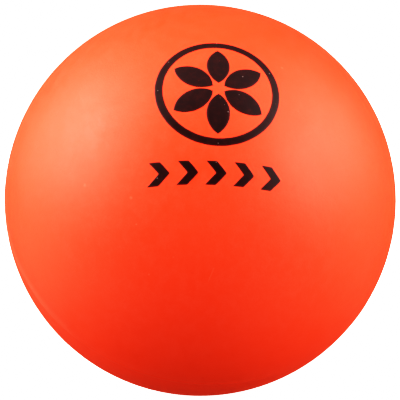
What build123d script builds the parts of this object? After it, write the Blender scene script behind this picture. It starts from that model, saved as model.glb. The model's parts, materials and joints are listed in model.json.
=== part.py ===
from build123d import *
from math import asin, cos, degrees, radians, sin
import os

# Solid rubber ball, 63 mm across, as used for lacrosse and for trigger-point massage.
#
# Frame: millimetres, origin at the ball's centre, +Z up, the printed side towards -Y.
# The ball is one vulcanised piece, pressed in a two-part mould. Where the halves met it
# carries a low raised line, the parting line, on a great circle. A mark is pad printed
# around one pole of that circle: a rosette in a ring, with a row of chevrons under it.
# Each printed area is a thin film of ink that lies face to face on the rubber.

# Rubber ball
ball_diameter = 63.0
parting_line_width = 0.8
parting_line_height = 0.06

# Direction of the mould's pole, which is the middle of the printed side
pole_azimuth = 11.5  # degrees from -Y towards +X
pole_elevation = 40.8  # degrees above the horizontal

# Printed mark, drawn on a flat plane that faces the pole, as the printing pad carries it
ink_thickness = 0.05
mark_turn = -8.0  # degrees about the pole, clockwise as seen from outside
mark_offset = -2.2  # sideways from the pole to the mark's centre line
corner_radius = 0.15

ring_centre_height = 0.55
ring_outer_radius = 8.8
ring_width = 1.1

petal_count = 6
petal_length = 6.2
petal_width = 3.3
petal_start = 0.9  # from the rosette's centre to a petal's inner tip

chevron_count = 5
chevron_pitch = 3.85
chevron_height = 3.1
chevron_depth = 1.45  # how far its point stands ahead of its two ends
chevron_band = 1.5  # along the row
chevron_row_height = -11.8

# Values that follow from the ones above
ball_radius = ball_diameter / 2
line_half_angle = degrees(asin(parting_line_width / 2 / ball_radius))

centre = (0, 0, 0)
azimuth = radians(pole_azimuth)
elevation = radians(pole_elevation)
pole = Vector(sin(azimuth) * cos(elevation), -cos(azimuth) * cos(elevation), sin(elevation))
level = Vector(cos(azimuth), sin(azimuth), 0)

mould_plane = Plane(origin=centre, x_dir=level, z_dir=pole)
section_plane = Plane(origin=centre, x_dir=mould_plane.x_dir, z_dir=-mould_plane.y_dir)
print_plane = mould_plane.rotated((0, 0, mark_turn))

os.makedirs("parts", exist_ok=True)


def finish(piece, node):
    """Label a finished piece with its node's name and write it."""
    piece.part.label = node
    export_step(piece.part, f"parts/{node}.step")


def ring_outline():
    """The ring around the rosette."""
    with Locations((mark_offset, ring_centre_height)):
        Circle(ring_outer_radius)
        Circle(ring_outer_radius - ring_width, mode=Mode.SUBTRACT)


def petal_outline(index):
    """One petal of the rosette: a pointed lens that lies along a radius."""
    bearing = 90 + index * 360 / petal_count
    with BuildSketch(mode=Mode.PRIVATE) as petal:
        with BuildLine():
            inner_tip = (petal_start, 0)
            outer_tip = (petal_start + petal_length, 0)
            middle = petal_start + petal_length / 2
            ThreePointArc(inner_tip, (middle, petal_width / 2), outer_tip)
            ThreePointArc(outer_tip, (middle, -petal_width / 2), inner_tip)
        make_face()
        fillet(petal.vertices(), radius=corner_radius)
    with Locations(Location((mark_offset, ring_centre_height, 0), (0, 0, bearing))):
        add(petal.sketch)


def chevron_outline(index):
    """One chevron of the row, which points along it."""
    place = mark_offset + (index - (chevron_count - 1) / 2) * chevron_pitch
    back = -(chevron_depth + chevron_band) / 2
    with BuildSketch(mode=Mode.PRIVATE) as chevron:
        with BuildLine():
            Polyline(
                (back, chevron_height / 2),
                (back + chevron_band, chevron_height / 2),
                (back + chevron_band + chevron_depth, 0),
                (back + chevron_band, -chevron_height / 2),
                (back, -chevron_height / 2),
                (back + chevron_depth, 0),
                close=True,
            )
        make_face()
        fillet(chevron.vertices(), radius=corner_radius)
    with Locations((place, chevron_row_height)):
        add(chevron.sketch)


def make_ink_patch(node, outline, *index):
    """Press a flat outline onto the ball along the pole, as a film of even thickness."""
    with BuildPart() as patch:
        with BuildSketch(print_plane):
            outline(*index)
        extrude(amount=ball_diameter)
        Sphere(ball_radius + ink_thickness, mode=Mode.INTERSECT)
        Sphere(ball_radius, mode=Mode.SUBTRACT)
    finish(patch, node)


# Rubber ball: the half section, with the parting line as a low crest, turned about the pole
with BuildPart() as rubber_ball:
    with BuildSketch(section_plane):
        with BuildLine():
            lower = CenterArc((0, 0), ball_radius, -90, 90 - line_half_angle)
            upper = CenterArc((0, 0), ball_radius, line_half_angle, 90 - line_half_angle)
            ThreePointArc(lower @ 1, (ball_radius + parting_line_height, 0), upper @ 0)
            Line(upper @ 1, lower @ 0)
        make_face()
    revolve(axis=Axis(centre, pole))
finish(rubber_ball, "rubber_ball")

# Printed mark
make_ink_patch("print_ring", ring_outline)
for number in range(petal_count):
    make_ink_patch(f"print_petal_{number + 1}", petal_outline, number)
for number in range(chevron_count):
    make_ink_patch(f"print_chevron_{number + 1}", chevron_outline, number)
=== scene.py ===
import json
from math import asin, cos, exp, hypot, pi, radians, sin, sinh, sqrt

import bmesh
import bpy
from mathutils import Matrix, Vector, noise


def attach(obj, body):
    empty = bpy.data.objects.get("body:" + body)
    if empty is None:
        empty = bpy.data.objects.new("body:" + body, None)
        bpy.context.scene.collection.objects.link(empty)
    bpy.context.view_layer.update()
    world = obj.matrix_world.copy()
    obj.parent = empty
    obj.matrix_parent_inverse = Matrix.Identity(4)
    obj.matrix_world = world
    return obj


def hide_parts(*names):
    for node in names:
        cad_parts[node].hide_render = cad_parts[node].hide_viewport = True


# A smooth solid rubber ball with a printed mark, in a plain studio.
# Lengths are millimetres unless they say otherwise, and MM turns them into Blender's metres.
# Azimuths are degrees from -Y towards +X, and elevations are degrees above the horizontal.

MM = 0.001

# The mould's pole, the middle of the printed side, as in the CAD model
POLE_AZIMUTH = 11.5
POLE_ELEVATION = 40.8
MARK_TURN = -8.0  # degrees about the pole

# Parting line, where the two halves of the mould met: a low crest of uneven height
LINE_WIDTH = 0.8
LINE_HEIGHT = 0.06
LINE_MEAN = 0.62  # its mean height, as a share of LINE_HEIGHT
LINE_SHAPE = 1.5  # a higher power makes a sharper crest
LINE_SWELL = (0.38, 2.3)  # how much its height changes, and how quickly along it
LINE_RIPPLE = (0.25, 40.0)

# Faint waves in the skin: height, and how quickly they follow each other
BROAD_WAVE = (0.008, 4.0)
SMALL_WAVE = (0.003, 19.0)
CALM = 8  # they fade in over this many half widths of the parting line

# Printed mark, drawn on a flat plane that faces the pole
MARK_OFFSET = -2.2
RING_CENTRE = 0.55
RING_RADIUS = 8.8
RING_WIDTH = 1.1
PETALS = 6
PETAL_LENGTH = 6.2
PETAL_WIDTH = 3.3
PETAL_START = 0.9
CHEVRONS = 5
CHEVRON_PITCH = 3.85
CHEVRON_HEIGHT = 3.1
CHEVRON_DEPTH = 1.45
CHEVRON_BAND = 1.5
CHEVRON_ROW = -11.8
CORNER = 0.15

# The ink film's shape
INK_THICKNESS = 0.035
INK_UNEVEN = (0.2, 0.9)  # how much its thickness changes, and how quickly
INK_SINK = 0.02  # how far its underside lies in the rubber, so that no gap shows
INK_EDGE = 0.09  # how wide its rounded edge is
INK_SOLID = 0.25  # how far from its edge it covers the rubber fully
INK_WOBBLE = 0.035  # how far its outline strays
SLOW_WOBBLE = (0.6, 1.1)  # a share of that, and how quickly it changes
QUICK_WOBBLE = (0.4, 4.0)
WOBBLE_LAYER = 3.7  # which layer of the noise the outline follows

# Meshes
LONGITUDES = 300
RINGS_A_SIDE = 140
CROWDING = 3.6  # how strongly the rings crowd towards the parting line
ACROSS_INK = 14
RING_ROWS = 420
PETAL_ROWS = 64
CHEVRON_ROWS = 72
SAME_POINT = 0.0005  # points nearer to each other than this become one

# Camera
CAMERA_ELEVATION = 12.5
CAMERA_DISTANCE = 6.0  # in ball radii
CLIP_START = 10
SENSOR = 36.0
BALL_SHARE = 0.9787  # the ball's outline over the picture's width
SHIFT = (-0.0006, 0.0006)


def towards(azimuth, elevation):
    """The direction at an azimuth and an elevation."""
    a, e = radians(azimuth), radians(elevation)
    return Vector((sin(a) * cos(e), -cos(a) * cos(e), sin(e)))


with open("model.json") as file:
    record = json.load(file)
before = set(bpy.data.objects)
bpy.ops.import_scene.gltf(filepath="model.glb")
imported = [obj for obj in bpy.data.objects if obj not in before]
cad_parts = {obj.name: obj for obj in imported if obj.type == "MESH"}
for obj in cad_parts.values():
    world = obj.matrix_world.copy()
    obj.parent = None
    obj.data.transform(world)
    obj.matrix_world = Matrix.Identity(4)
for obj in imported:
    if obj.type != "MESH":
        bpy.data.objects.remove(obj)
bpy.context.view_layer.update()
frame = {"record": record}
record = frame["record"]
rest_point = next(mount for mount in record["mounts"] if mount["name"] == "rest_point")
RADIUS = rest_point["dims"]["r_mm"]
FLOOR = rest_point["pos_m"][2] / MM

pole = towards(POLE_AZIMUTH, POLE_ELEVATION)
level = towards(POLE_AZIMUTH + 90, 0)
rise = pole.cross(level)
turn = radians(MARK_TURN)
mark_right = level * cos(turn) + rise * sin(turn)
mark_up = rise * cos(turn) - level * sin(turn)


# ---------------------------------------------------------------- meshes

def new_piece(name, points, faces, material, cover=None):
    """A smooth-shaded mesh object from points in millimetres. Points that coincide become one."""
    mesh = bpy.data.meshes.new(name)
    mesh.from_pydata([point * MM for point in points], [], faces)
    if cover:
        mesh.attributes.new("cover", "FLOAT", "POINT").data.foreach_set("value", cover)
    shape = bmesh.new()
    shape.from_mesh(mesh)
    bmesh.ops.remove_doubles(shape, verts=shape.verts, dist=SAME_POINT * MM)
    shape.to_mesh(mesh)
    shape.free()
    mesh.shade_smooth()
    mesh.materials.append(material)
    piece = bpy.data.objects.new(name, mesh)
    bpy.context.scene.collection.objects.link(piece)
    return piece


def smoothstep(value):
    """From 0 to 1, with a smooth start and end."""
    value = min(max(value, 0.0), 1.0)
    return value * value * (3 - 2 * value)


def uneven(place, size, pace):
    """A smooth random value for a place, up to about size either way."""
    return size * noise.noise(place * pace)


def ball_radius_at(direction, latitude, longitude):
    """The skin's distance from the centre: the sphere, its faint waves and the parting line."""
    waves = uneven(direction, *BROAD_WAVE) + uneven(direction, *SMALL_WAVE)
    across = RADIUS * latitude / (LINE_WIDTH / 2)
    along = Vector((cos(longitude), sin(longitude), 0))
    height = LINE_HEIGHT * (LINE_MEAN + uneven(along, *LINE_SWELL))
    height *= 1 + uneven(along, *LINE_RIPPLE)
    crest = height * max(0.0, 1 - across * across) ** LINE_SHAPE
    return RADIUS + waves * smoothstep(abs(across) / CALM) + crest


def make_ball(material):
    """Rings about the mould's pole, crowded at the parting line, and a point at each pole."""
    steps = range(-RINGS_A_SIDE + 1, RINGS_A_SIDE)
    latitudes = [pi / 2 * sinh(CROWDING * step / RINGS_A_SIDE) / sinh(CROWDING) for step in steps]
    points = []
    for latitude in latitudes:
        for number in range(LONGITUDES):
            longitude = 2 * pi * number / LONGITUDES
            sideways = level * cos(longitude) + rise * sin(longitude)
            direction = sideways * cos(latitude) + pole * sin(latitude)
            points.append(direction * ball_radius_at(direction, latitude, longitude))
    faces = []
    for ring in range(len(latitudes) - 1):
        for number in range(LONGITUDES):
            a = ring * LONGITUDES + number
            b = ring * LONGITUDES + (number + 1) % LONGITUDES
            faces.append((a, b, b + LONGITUDES, a + LONGITUDES))
    last = (len(latitudes) - 1) * LONGITUDES
    south, north = len(points), len(points) + 1
    points += [-pole * RADIUS, pole * RADIUS]
    for number in range(LONGITUDES):
        after = (number + 1) % LONGITUDES
        faces.append((after, number, south))
        faces.append((last + number, last + after, north))
    return new_piece("rubber_skin", points, faces, material)


def on_ball(x, y, lift):
    """The point over the ball that the flat mark's point (x, y) is pressed onto."""
    height = sqrt((RADIUS + lift) ** 2 - x * x - y * y)
    return mark_right * x + mark_up * y + pole * height


def wobble(x, y):
    """How far the print's outline strays at a point of the flat mark."""
    place = Vector((x, y, WOBBLE_LAYER))
    return INK_WOBBLE * (uneven(place, *SLOW_WOBBLE) + uneven(place, *QUICK_WOBBLE))


def film_lift(x, y, inside):
    """How high the film's top lies over the ball, this far inside its edge."""
    full = INK_THICKNESS * (1 + uneven(Vector((x, y, 0)), *INK_UNEVEN))
    rim = min(inside / INK_EDGE, 1.0)
    return -INK_SINK + (full + INK_SINK) * sqrt(1 - (1 - rim) ** 2)


def film_faces(top, under, closed):
    """Triangles over the rows of the film's top and underside, which share their edge points."""
    pairs = list(zip(range(len(top)), range(1, len(top))))
    if closed:
        pairs.append((len(top) - 1, 0))
    faces = []
    for a, b in pairs:
        for n in range(ACROSS_INK):
            # Diagonals start at the film's corners: there the other one would be in both sides
            from_corner = (a < len(top) / 2) == (n < ACROSS_INK / 2)
            for row, order in ((top, 1), (under, -1)):
                cell = [row[a][n], row[a][n + 1], row[b][n + 1], row[b][n]]
                start, *others = cell if from_corner else cell[1:] + cell[:1]
                faces.append((start, *others[:2][::order]))
                faces.append((start, *others[1:][::order]))
    return faces


def make_film(name, rows, closed, material):
    """A film of ink. Each row is (left point, right point, distance to the film's nearer end)."""
    points, cover = [], []
    top, under = [], []
    for left, right, end_distance in rows:
        width = (right - left).length
        side = (right - left).normalized() if width > 0 else Vector((1, 0))
        left = left - side * wobble(*left)
        right = right + side * wobble(*right)
        top_row, under_row = [], []
        for number in range(ACROSS_INK + 1):
            share = 0.5 - 0.5 * cos(pi * number / ACROSS_INK)
            x, y = left.lerp(right, share)
            inside = min(share * width, (1 - share) * width, end_distance)
            top_row.append(len(points))
            points.append(on_ball(x, y, film_lift(x, y, inside)))
            cover.append(min(inside / INK_SOLID, 1.0))
            if inside > 0:
                under_row.append(len(points))
                points.append(on_ball(x, y, -INK_SINK))
                cover.append(1.0)
            else:
                under_row.append(top_row[-1])
        top.append(top_row)
        under.append(under_row)
    return new_piece(name, points, film_faces(top, under, closed), material, cover)


def eased(count):
    """Values from -1 to 1, closer together at both ends."""
    return [-cos(pi * number / count) for number in range(count + 1)]


def corner_width(to_end):
    """How far a round corner has widened this far from its end. It ends at CORNER."""
    short = max(0.0, CORNER - to_end)
    return sqrt(max(0.0, CORNER ** 2 - short ** 2))


def ring_rows():
    """A ring, cut across all the way round."""
    centre = Vector((MARK_OFFSET, RING_CENTRE))
    rows = []
    for number in range(RING_ROWS):
        bearing = 2 * pi * number / RING_ROWS
        outward = Vector((cos(bearing), sin(bearing)))
        inner = centre + outward * (RING_RADIUS - RING_WIDTH)
        rows.append((inner, centre + outward * RING_RADIUS, RING_WIDTH))
    return rows


def petal_rows(number):
    """A lens between two arcs, along a radius of the ring, with rounded tips."""
    bearing = pi / 2 + 2 * pi * number / PETALS
    along = Vector((cos(bearing), sin(bearing)))
    across = Vector((along.y, -along.x))
    centre = Vector((MARK_OFFSET, RING_CENTRE)) + along * (PETAL_START + PETAL_LENGTH / 2)
    arc_radius = (PETAL_LENGTH ** 2 / 4 + PETAL_WIDTH ** 2 / 4) / PETAL_WIDTH
    tip_angle = asin(PETAL_LENGTH / 2 / arc_radius)
    reach = PETAL_LENGTH / 2 - (CORNER / sin(tip_angle) - CORNER)
    rows = []
    for step in eased(PETAL_ROWS):
        place = step * reach
        half = sqrt(arc_radius ** 2 - place ** 2) - (arc_radius - PETAL_WIDTH / 2)
        to_end = reach - abs(place)
        if to_end < CORNER:
            half = min(half, corner_width(to_end))
        middle = centre + along * place
        rows.append((middle - across * half, middle + across * half, to_end))
    return rows


def chevron_rows(number):
    """A bent band that points along the row, with rounded corners."""
    place = MARK_OFFSET + (number - (CHEVRONS - 1) / 2) * CHEVRON_PITCH
    back = -(CHEVRON_DEPTH + CHEVRON_BAND) / 2
    half_height = CHEVRON_HEIGHT / 2
    rows = []
    for step in eased(CHEVRON_ROWS):
        height = step * half_height
        to_end = half_height - abs(height)
        bent = hypot(height, CORNER / 2) - CORNER / 2
        left = place + back + CHEVRON_DEPTH * (1 - bent / half_height)
        cut = CORNER - corner_width(to_end)
        left_point = Vector((left + cut, CHEVRON_ROW + height))
        right_point = Vector((left + CHEVRON_BAND - cut, CHEVRON_ROW + height))
        rows.append((left_point, right_point, to_end))
    return rows


# ---------------------------------------------------------------- nodes

SPECK_CORE = 0.6  # the share of a scattered speck's radius that is solid


def start_material(name):
    """A new material, its node tree and its shader."""
    material = bpy.data.materials.new(name)
    material.use_nodes = True
    tree = material.node_tree
    return material, tree, tree.nodes["Principled BSDF"]


def add_node(tree, kind, **settings):
    """A node with its settings, each a socket's value or a property."""
    node = tree.nodes.new(kind)
    for key, value in settings.items():
        if key in node.inputs:
            node.inputs[key].default_value = value
        else:
            setattr(node, key, value)
    return node


def feed(tree, socket, value):
    """Give a socket another socket's output or a plain value."""
    if isinstance(value, bpy.types.NodeSocket):
        tree.links.new(value, socket)
    else:
        socket.default_value = value


def noise_node(tree, place, scale, detail, roughness):
    """Noise whose scale is in features per metre of the object."""
    node = add_node(tree, "ShaderNodeTexNoise", Scale=scale, Detail=detail, Roughness=roughness)
    tree.links.new(place, node.inputs["Vector"])
    return node.outputs["Fac"]


def remap(tree, value, low_in, high_in, low_out, high_out):
    """A value moved from one range to another, and kept inside it."""
    node = add_node(tree, "ShaderNodeMapRange")
    for index, number in enumerate((low_in, high_in, low_out, high_out)):
        node.inputs[index + 1].default_value = number
    tree.links.new(value, node.inputs[0])
    return node.outputs[0]


def mix_colours(tree, share, first, second):
    """Mix two colours, each a socket or a plain value."""
    node = add_node(tree, "ShaderNodeMix", data_type="RGBA")
    for key, value in (("Factor", share), ("A", first), ("B", second)):
        sockets = [socket for socket in node.inputs if socket.name == key and socket.enabled]
        feed(tree, sockets[0], value)
    return next(socket for socket in node.outputs if socket.enabled)


def vector_math(tree, operation, first, second):
    """A vector operation between a socket and a constant. Gives a plain value where it has one."""
    node = add_node(tree, "ShaderNodeVectorMath", operation=operation)
    tree.links.new(first, node.inputs[0])
    node.inputs[1].default_value = second
    return node.outputs["Value" if operation in ("DISTANCE", "DOT_PRODUCT") else "Vector"]


def maths(tree, operation, first, second):
    """A number operation. Each side is a socket or a plain value."""
    node = add_node(tree, "ShaderNodeMath", operation=operation)
    feed(tree, node.inputs[0], first)
    feed(tree, node.inputs[1], second)
    return node.outputs[0]


def specks(tree, place, spacing, radius):
    """A mask of small round specks scattered at random."""
    node = add_node(tree, "ShaderNodeTexVoronoi", Scale=1 / (spacing * MM), Randomness=1.0)
    tree.links.new(place, node.inputs["Vector"])
    core = SPECK_CORE * radius / spacing
    return remap(tree, node.outputs["Distance"], core, radius / spacing, 1, 0)


def bump(tree, height, depth, strength, under=None):
    """A bump whose full height is depth, over another bump if one is given."""
    node = add_node(tree, "ShaderNodeBump", Distance=depth * MM, Strength=strength)
    tree.links.new(height, node.inputs["Height"])
    if under:
        tree.links.new(under, node.inputs["Normal"])
    return node.outputs["Normal"]


# ---------------------------------------------------------------- rubber

# A matte orange skin. Bloom is the pale film that vulcanised rubber sweats out.
RUBBER_COLOUR = (0.955, 0.0725, 0.0152, 1)
RUBBER_LIGHT = (0.96, 0.08, 0.024, 1)
RUBBER_DEEP = (0.94, 0.065, 0.009, 1)
# The same pale colour also paints the parting band, partly as buffed rubber and partly as painted
# sheen.
BLOOM_AND_SHEEN_COLOUR = (0.95, 0.17, 0.11, 1)
SPECK_COLOUR = (0.95, 0.22, 0.14, 1)
PIT_COLOUR = (0.80, 0.045, 0.009, 1)
RUBBER_ROUGHNESS = 0.55

# Noises: features per metre, detail and roughness
CLOUDS = (55, 3, 0.5)
MOTTLE = (700, 4, 0.65)
GRAIN = (3600, 3, 0.6)
BLOOM = (140, 5, 0.7)
PATCHES = (110, 4, 0.6)
BREAKS = (260, 3, 0.6)
ORANGE_PEEL = (420, 2, 0.5)
PEBBLES = (1500, 3, 0.6)

# How a noise is used: two of its values, and what they become
CLOUD_SHARE = (0.3, 0.7, 0, 1)
MOTTLE_SHARE = (0.4, 0.65, 0, 0.9)
GRAIN_SHARE = (0.45, 0.75, 0, 0.7)
BLOOM_SHARE = (0.55, 0.85, 0, 0.1)
PATCH_GLOSS = (0.3, 0.7, -0.03, 0.03)
FINE_GLOSS = (0.3, 0.7, -0.05, 0.05)
BREAK_SHARE = (0.3, 0.7, 0.7, 1)

# Scattered dust and pits: spacing and radius, then their share of the colour
DUST = (4.2, 0.16)
DUST_SHARE = 0.22
PITS = (3.4, 0.15)
PIT_SHARE = 0.35
PIT_SHIFT = (0.31, 0.17, 0.23)  # metres that keep the pits' pattern apart from the dust's

# Blemishes: azimuth, elevation and radius. They fade from their core to their rim, both as
# shares of the radius, and their own share is how much of their colour the core has.
PALE_SPECKS = ((-32, 14.5, 0.28), (-18, 12.5, 0.26), (34, 48, 0.24))
PALE_RIM = 1.2
PALE_SHARE = 0.25
DARK_SPECKS = ((25, 14.5, 0.3),)
DARK_RIM = 1.4
DARK_SHARE = 0.4
BLEMISH_CORE = 0.3
SCRATCH = ((2, -8.5), (3.5, -4.5))  # azimuth and elevation of its ends
SCRATCH_SPARE = 0.012  # the detour, from end to end, that takes a point off the scratch
SCRATCH_SHARE = 0.16

# The parting line's band: it fades towards the pole, and is plainest on one side. Its pale colour
# is partly buffed rubber and partly painted sheen, strongest on the side where the left lights
# graze it.
BAND_FADE = 2.2
BAND_EDGE = 0.45
BAND_PALE_AND_SHEEN_SHARE = 0.38
BAND_GLOSS = 0.1
# The side where the left lights graze the band: its pale colour is strongest there, as painted
# sheen.
BAND_SHEEN_SIDE = (-75, -20)
BAND_SHEEN_SPREAD = (0.84, 0.99, 0.12, 1)  # nearness to that side, in radii, and how plain it is

# Relief: full height, and strength
PEEL_RELIEF = (0.02, 0.5)
PEBBLE_RELIEF = (0.02, 0.8)
GRAIN_RELIEF = (0.02, 1.0)
PIT_RELIEF = (0.02, 0.6)


def object_place(tree):
    """Where a point is on the object, in metres."""
    return add_node(tree, "ShaderNodeTexCoord").outputs["Object"]


def pigment(tree, place, mottle, grain):
    """The rubber's own colour: clouds, fine mottling and grain."""
    clouds = remap(tree, noise_node(tree, place, *CLOUDS), *CLOUD_SHARE)
    colour = mix_colours(tree, clouds, RUBBER_DEEP, RUBBER_COLOUR)
    colour = mix_colours(tree, remap(tree, mottle, *MOTTLE_SHARE), colour, RUBBER_LIGHT)
    return mix_colours(tree, remap(tree, grain, *GRAIN_SHARE), colour, RUBBER_DEEP)


def add_age(tree, place, colour, pits):
    """Colour with a thin uneven bloom, and scattered dust and pits."""
    bloom = remap(tree, noise_node(tree, place, *BLOOM), *BLOOM_SHARE)
    colour = mix_colours(tree, bloom, colour, BLOOM_AND_SHEEN_COLOUR)
    dust = maths(tree, "MULTIPLY", specks(tree, place, *DUST), DUST_SHARE)
    colour = mix_colours(tree, dust, colour, SPECK_COLOUR)
    return mix_colours(tree, maths(tree, "MULTIPLY", pits, PIT_SHARE), colour, PIT_COLOUR)


def add_blemishes(tree, place, colour, places, rim, share, tint):
    """Colour with small round blemishes at given places on the ball."""
    for azimuth, elevation, radius in places:
        spot = towards(azimuth, elevation) * RADIUS * MM
        away = vector_math(tree, "DISTANCE", place, spot)
        mask = remap(tree, away, BLEMISH_CORE * radius * MM, rim * radius * MM, share, 0)
        colour = mix_colours(tree, mask, colour, tint)
    return colour


def add_scratch(tree, place, colour):
    """Colour with a hairline scratch between two places on the ball."""
    start, end = [towards(*direction) * RADIUS * MM for direction in SCRATCH]
    to_start = vector_math(tree, "DISTANCE", place, start)
    to_end = vector_math(tree, "DISTANCE", place, end)
    spare = maths(tree, "SUBTRACT", maths(tree, "ADD", to_start, to_end), (end - start).length)
    scratch = remap(tree, spare, 0, SCRATCH_SPARE * MM, SCRATCH_SHARE, 0)
    return mix_colours(tree, scratch, colour, SPECK_COLOUR)


def parting_band_and_sheen(tree, place):
    """A mask of the band along the parting line, strongest on the side where the left lights graze
    it. Its pale colour is partly buffed rubber and partly painted sheen.
    """
    above = vector_math(tree, "DOT_PRODUCT", place, pole)
    fade_up = remap(tree, above, 0, BAND_FADE * MM, 1, 0)
    fade_down = remap(tree, above, -BAND_EDGE * MM, 0, 0, 1)
    # Stronger towards the side that the left lights graze: there the band's paleness is painted
    # sheen.
    near = vector_math(tree, "DOT_PRODUCT", place, towards(*BAND_SHEEN_SIDE))
    start, end, faint, full = BAND_SHEEN_SPREAD
    plain = remap(tree, near, start * RADIUS * MM, end * RADIUS * MM, faint, full)
    broken = remap(tree, noise_node(tree, place, *BREAKS), *BREAK_SHARE)
    fade = maths(tree, "MULTIPLY", fade_up, fade_down)
    return maths(tree, "MULTIPLY", fade, maths(tree, "MULTIPLY", plain, broken))


def rubber_material():
    material, tree, shader = start_material("orange_rubber")
    place = object_place(tree)
    mottle = noise_node(tree, place, *MOTTLE)
    grain = noise_node(tree, place, *GRAIN)
    pits = specks(tree, vector_math(tree, "ADD", place, PIT_SHIFT), *PITS)
    band = parting_band_and_sheen(tree, place)

    colour = pigment(tree, place, mottle, grain)
    colour = add_age(tree, place, colour, pits)
    colour = add_blemishes(tree, place, colour, PALE_SPECKS, PALE_RIM, PALE_SHARE, SPECK_COLOUR)
    colour = add_blemishes(tree, place, colour, DARK_SPECKS, DARK_RIM, DARK_SHARE, PIT_COLOUR)
    colour = add_scratch(tree, place, colour)
    # The band's pale colour: partly buffed rubber, partly painted sheen where the left lights
    # graze it.
    colour = mix_colours(tree, maths(tree, "MULTIPLY", band, BAND_PALE_AND_SHEEN_SHARE), colour, BLOOM_AND_SHEEN_COLOUR)
    tree.links.new(colour, shader.inputs["Base Color"])

    # Gloss: matte, with slightly glossier patches, and smoother along the band
    patches = remap(tree, noise_node(tree, place, *PATCHES), *PATCH_GLOSS)
    fine = remap(tree, mottle, *FINE_GLOSS)
    roughness = maths(tree, "ADD", maths(tree, "ADD", patches, fine), RUBBER_ROUGHNESS)
    buffed = maths(tree, "MULTIPLY", band, BAND_GLOSS)
    roughness = maths(tree, "SUBTRACT", roughness, buffed)
    tree.links.new(roughness, shader.inputs["Roughness"])

    # Relief: the mould's fine grain over a faint orange peel, and small pits
    relief = bump(tree, noise_node(tree, place, *ORANGE_PEEL), *PEEL_RELIEF)
    relief = bump(tree, noise_node(tree, place, *PEBBLES), *PEBBLE_RELIEF, relief)
    relief = bump(tree, grain, *GRAIN_RELIEF, relief)
    relief = bump(tree, maths(tree, "SUBTRACT", 1.0, pits), *PIT_RELIEF, relief)
    tree.links.new(relief, shader.inputs["Normal"])
    return material


# ---------------------------------------------------------------- ink

# Near black. Where it is thin, at its edges and in places, the orange shows through.
INK_COLOUR = (0.024, 0.0016, 0.0013, 1)
THIN_INK = (0.12, 0.009, 0.004, 1)
INK_DUST_COLOUR = (0.42, 0.3, 0.27, 1)
INK_ROUGHNESS = 0.45
INK_SPECULAR = 0.285

INK_MOTTLE = (1100, 4, 0.65)
INK_STREAKS = (350, 3, 0.6)
INK_EDGE_SHARE = (0, 1, 1, 0)
INK_PATCH_SHARE = (0.45, 0.8, 0, 0.3)
INK_STREAK_GLOSS = (0.3, 0.7, -0.06, 0.06)
INK_FINE_GLOSS = (0.3, 0.7, -0.04, 0.04)

PINHOLES = (1.5, 0.055)
PINHOLE_SHARE = 0.35
INK_DUST = (1.35, 0.11)
INK_DUST_SHARE = 0.5
INK_DUST_SHIFT = (0.11, 0.27, 0.19)  # metres that keep the dust's pattern apart from the pinholes'

INK_GRAIN_RELIEF = (0.010, 0.8)
INK_DUST_RELIEF = (0.03, 0.6)


def ink_material():
    material, tree, shader = start_material("black_ink")
    place = object_place(tree)
    mottle = noise_node(tree, place, *INK_MOTTLE)
    dust = specks(tree, vector_math(tree, "ADD", place, INK_DUST_SHIFT), *INK_DUST)

    # Colour: thin at the edges and in a fine mottle, with pinholes and a little dust
    cover = add_node(tree, "ShaderNodeAttribute", attribute_name="cover").outputs["Fac"]
    edge = remap(tree, cover, *INK_EDGE_SHARE)
    patchy = remap(tree, mottle, *INK_PATCH_SHARE)
    colour = mix_colours(tree, maths(tree, "MAXIMUM", edge, patchy), INK_COLOUR, THIN_INK)
    pinholes = maths(tree, "MULTIPLY", specks(tree, place, *PINHOLES), PINHOLE_SHARE)
    colour = mix_colours(tree, pinholes, colour, RUBBER_COLOUR)
    dusty = maths(tree, "MULTIPLY", dust, INK_DUST_SHARE)
    colour = mix_colours(tree, dusty, colour, INK_DUST_COLOUR)
    tree.links.new(colour, shader.inputs["Base Color"])

    # Gloss: dry and slightly uneven
    shader.inputs["Specular IOR Level"].default_value = INK_SPECULAR
    streaks = remap(tree, noise_node(tree, place, *INK_STREAKS), *INK_STREAK_GLOSS)
    fine = remap(tree, mottle, *INK_FINE_GLOSS)
    roughness = maths(tree, "ADD", maths(tree, "ADD", streaks, fine), INK_ROUGHNESS)
    tree.links.new(roughness, shader.inputs["Roughness"])

    # Relief: the grain of the rubber under it, and grains of dust
    relief = bump(tree, noise_node(tree, place, *GRAIN), *INK_GRAIN_RELIEF)
    relief = bump(tree, dust, *INK_DUST_RELIEF, relief)
    tree.links.new(relief, shader.inputs["Normal"])
    return material


# ---------------------------------------------------------------- studio

# The stage: a round table that sweeps up into a wall
TABLE_REACH = 700
BEND_RADIUS = 350
BEND_STEP = 6  # degrees
WALL_HEIGHT = 1600
STAGE_SIDES = 96
TABLE_COLOUR = (0.8, 0.8, 0.8, 1)
TABLE_ROUGHNESS = 0.9
TABLE_GLOW = 1.8
WHITE_LIGHT = (1, 1, 1, 1)

# Soft lights: name, azimuth, elevation, width and depth (metres), power (watts).
# Each stands SOFTBOX_DISTANCE metres from the ball's centre.
SOFTBOX_DISTANCE = 0.55
SOFTBOXES = (
    ("left_key", -80, 45, 0.35, 0.35, 3.0),
    ("left_side", -88, 30, 0.4, 0.4, 3.3),
    ("left_rim", -100, 30, 0.6, 0.6, 3.25),
    ("left_low_rim", -95, -18, 0.6, 0.5, 1.95),
    ("left_front", -62, 18, 0.4, 0.4, 3.15),
    ("right_key", 84, 32, 0.6, 0.5, 7.7),
    ("right_low_rim", 95, -18, 0.6, 0.5, 1.3),
    ("right_front", 60, 15, 0.4, 0.4, 3.1),
    ("overhead", 0, 89, 0.6, 0.6, 2.85),
    ("front_fill", 0, 12, 0.8, 0.6, 0.8),
    ("low_left", -45, -40, 0.5, 0.4, 0.82),
    ("low_right", 45, -40, 0.5, 0.4, 1.02),
)
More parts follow.
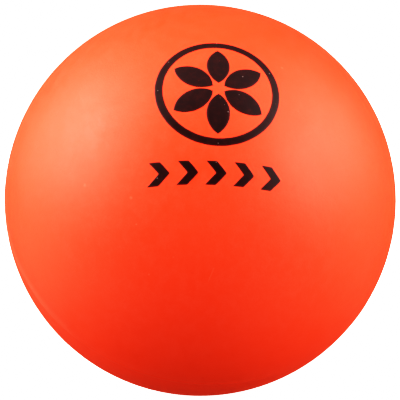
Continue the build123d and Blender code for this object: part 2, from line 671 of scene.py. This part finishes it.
# Fill lights, in the same terms, that leave no highlight
FILLS = (
    ("left_low_fill", -95, -18, 0.6, 0.5, 1.45),
    ("right_low_fill", 95, -18, 0.6, 0.5, 2.8),
    ("back_fill", 180, 10, 0.9, 0.6, 2.5),
    ("back_low", 180, -35, 0.8, 0.4, 1.6),
)
AMBIENT = 0.12

# The picture's tone: firm contrast, and a soft shoulder that ends in white at WHITE
CONTRAST = 2.0
WHITE = 2.5
CURVE_LIGHTS = (0.2, 0.4, 0.6, 0.8, 1.0, 1.3, 1.7)  # the lights that the curve is drawn through


def make_camera():
    data = bpy.data.cameras.new("camera")
    data.sensor_width = SENSOR
    data.lens = SENSOR * BALL_SHARE / 2 * sqrt(CAMERA_DISTANCE ** 2 - 1)
    data.clip_start = CLIP_START * MM
    data.shift_x, data.shift_y = SHIFT
    camera = bpy.data.objects.new("camera", data)
    camera.location = towards(0, CAMERA_ELEVATION) * CAMERA_DISTANCE * RADIUS * MM
    camera.rotation_euler = (pi / 2 - radians(CAMERA_ELEVATION), 0, 0)
    bpy.context.scene.collection.objects.link(camera)
    bpy.context.scene.camera = camera


def stage_profile():
    """The stage's reach and height, from the table's flat outwards and up."""
    profile = [(TABLE_REACH / 2, 0)]
    for degrees in range(0, 91, BEND_STEP):
        reach = TABLE_REACH + BEND_RADIUS * sin(radians(degrees))
        profile.append((reach, BEND_RADIUS - BEND_RADIUS * cos(radians(degrees))))
    profile.append((TABLE_REACH + BEND_RADIUS, WALL_HEIGHT))
    return profile


def stage_material():
    material, tree, shader = start_material("white_table")
    shader.inputs["Base Color"].default_value = TABLE_COLOUR
    shader.inputs["Roughness"].default_value = TABLE_ROUGHNESS
    shader.inputs["Emission Color"].default_value = WHITE_LIGHT
    shader.inputs["Emission Strength"].default_value = TABLE_GLOW
    return material


def make_stage():
    """A white table with a wall all round. It neither lights the ball nor blocks the lights."""
    profile = stage_profile()
    points, faces = [Vector((0, 0, FLOOR))], []
    for reach, height in profile:
        for number in range(STAGE_SIDES):
            bearing = 2 * pi * number / STAGE_SIDES
            points.append(Vector((reach * cos(bearing), reach * sin(bearing), FLOOR + height)))
    for number in range(STAGE_SIDES):
        after = (number + 1) % STAGE_SIDES
        faces.append((0, 1 + number, 1 + after))
        for ring in range(len(profile) - 1):
            a = 1 + ring * STAGE_SIDES + number
            b = 1 + ring * STAGE_SIDES + after
            faces.append((a, a + STAGE_SIDES, b + STAGE_SIDES, b))
    table = new_piece("table", points, faces, stage_material())
    table.visible_diffuse = False
    table.visible_glossy = False
    table.visible_shadow = False


def softbox(name, azimuth, elevation, width, depth, power, glossy=True):
    """A rectangular soft light aimed at the ball. One that isn't glossy leaves no highlight."""
    data = bpy.data.lights.new(name, "AREA")
    data.shape = "RECTANGLE"
    data.size = width
    data.size_y = depth
    data.energy = power
    light = bpy.data.objects.new(name, data)
    direction = towards(azimuth, elevation)
    light.location = direction * SOFTBOX_DISTANCE
    light.rotation_euler = direction.to_track_quat("Z", "Y").to_euler()
    light.visible_camera = False
    light.visible_glossy = glossy
    bpy.context.scene.collection.objects.link(light)


def make_lights():
    for settings in SOFTBOXES:
        softbox(*settings)
    for settings in FILLS:
        softbox(*settings, glossy=False)
    world = bpy.data.worlds.new("studio")
    world.use_nodes = True
    background = world.node_tree.nodes["Background"]
    background.inputs["Color"].default_value = WHITE_LIGHT
    background.inputs["Strength"].default_value = AMBIENT
    bpy.context.scene.world = world


def set_response():
    settings = bpy.context.scene.view_settings
    settings.view_transform = "Standard"
    settings.look = "None"
    settings.gamma = 1 / CONTRAST
    settings.use_curve_mapping = True
    mapping = settings.curve_mapping
    mapping.white_level = (WHITE, WHITE, WHITE)
    mapping.extend = "HORIZONTAL"
    curve = mapping.curves[3]
    curve.points[0].location = (0, 0)
    curve.points[1].location = (1, 1)
    for light in CURVE_LIGHTS:
        curve.points.new(light / WHITE, sqrt(1 - exp(-light * light)))
    for point in curve.points:
        point.handle_type = "AUTO_CLAMPED"
    mapping.update()


# ---------------------------------------------------------------- the ball

rubber = rubber_material()
ink = ink_material()

skin = make_ball(rubber)
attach(skin, "root")
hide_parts("rubber_ball")

films = [("print_ring", make_film("ink_ring", ring_rows(), True, ink))]
for number in range(PETALS):
    film = make_film(f"ink_petal_{number + 1}", petal_rows(number), False, ink)
    films.append((f"print_petal_{number + 1}", film))
for number in range(CHEVRONS):
    film = make_film(f"ink_chevron_{number + 1}", chevron_rows(number), False, ink)
    films.append((f"print_chevron_{number + 1}", film))
for node, film in films:
    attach(film, "root")
    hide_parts(node)

make_camera()
make_stage()
make_lights()
set_response()
